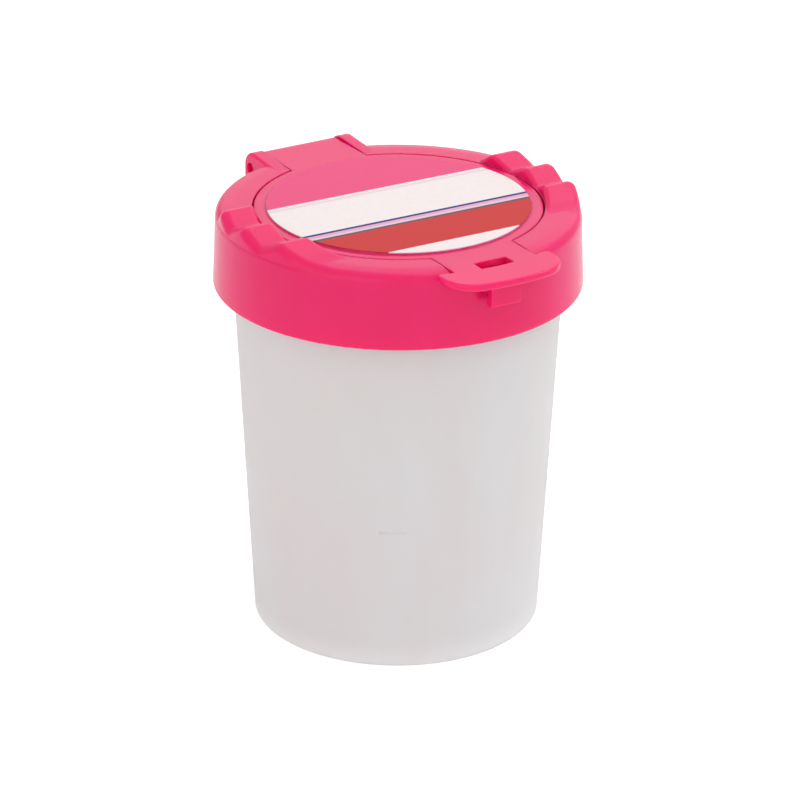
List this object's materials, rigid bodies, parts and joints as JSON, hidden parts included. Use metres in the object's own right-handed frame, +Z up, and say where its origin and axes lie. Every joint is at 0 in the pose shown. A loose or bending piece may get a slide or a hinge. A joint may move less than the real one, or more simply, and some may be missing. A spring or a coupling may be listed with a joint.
{
  "type": "paint cup with lid",
  "caption": "Water cup for brushes: a translucent tumbler with a drip funnel and a screwed-on collar that carries brush rests and a hinged, latching flip cap.",
  "frame": {"origin": "centre of the cup's foot, on the surface that it stands on", "axes": "+Z up through the cup, -Y towards the finger tab at the front, +Y towards the hinge, +X to the right when the tab faces the user"},
  "size_m": [0.0804, 0.094, 0.0982],
  "materials": {
    "frosted_cup": "frosted translucent natural polypropylene",
    "frosted_funnel": "translucent natural polypropylene",
    "soft_seal": "soft off-white sealing rubber",
    "pink_lid": "satin deep pink polypropylene",
    "printed_label": "printed sticker with plain stripes"
  },
  "bodies": {
    "cup": {"cup": "frosted_cup"},
    "funnel_set": {"spill_funnel": "frosted_funnel", "rim_seal": "soft_seal"},
    "collar": {"screw_collar": "pink_lid"},
    "cap": {"flip_cap": "pink_lid", "cap_label": "printed_label"}
  },
  "joints": [
    {"name": "lid_lift", "type": "slide", "parent": "cup", "child": "funnel_set", "axis": [0, 0, 1], "range_m": [0, 0.048]},
    {"name": "collar_turn", "type": "hinge", "parent": "funnel_set", "child": "collar", "pos_m": [0, 0, 0.0872], "axis": [0, 0, 1], "range_deg": [0, 1440]},
    {"name": "cap_hinge", "type": "hinge", "parent": "collar", "child": "cap", "pos_m": [0, 0.0426, 0.0923], "axis": [-1, 0, 0], "range_deg": [0, 150]}
  ],
  "couplings": [
    {"joint": "lid_lift", "follows": "collar_turn", "m_per_rad": 0.0019099}
  ]
}
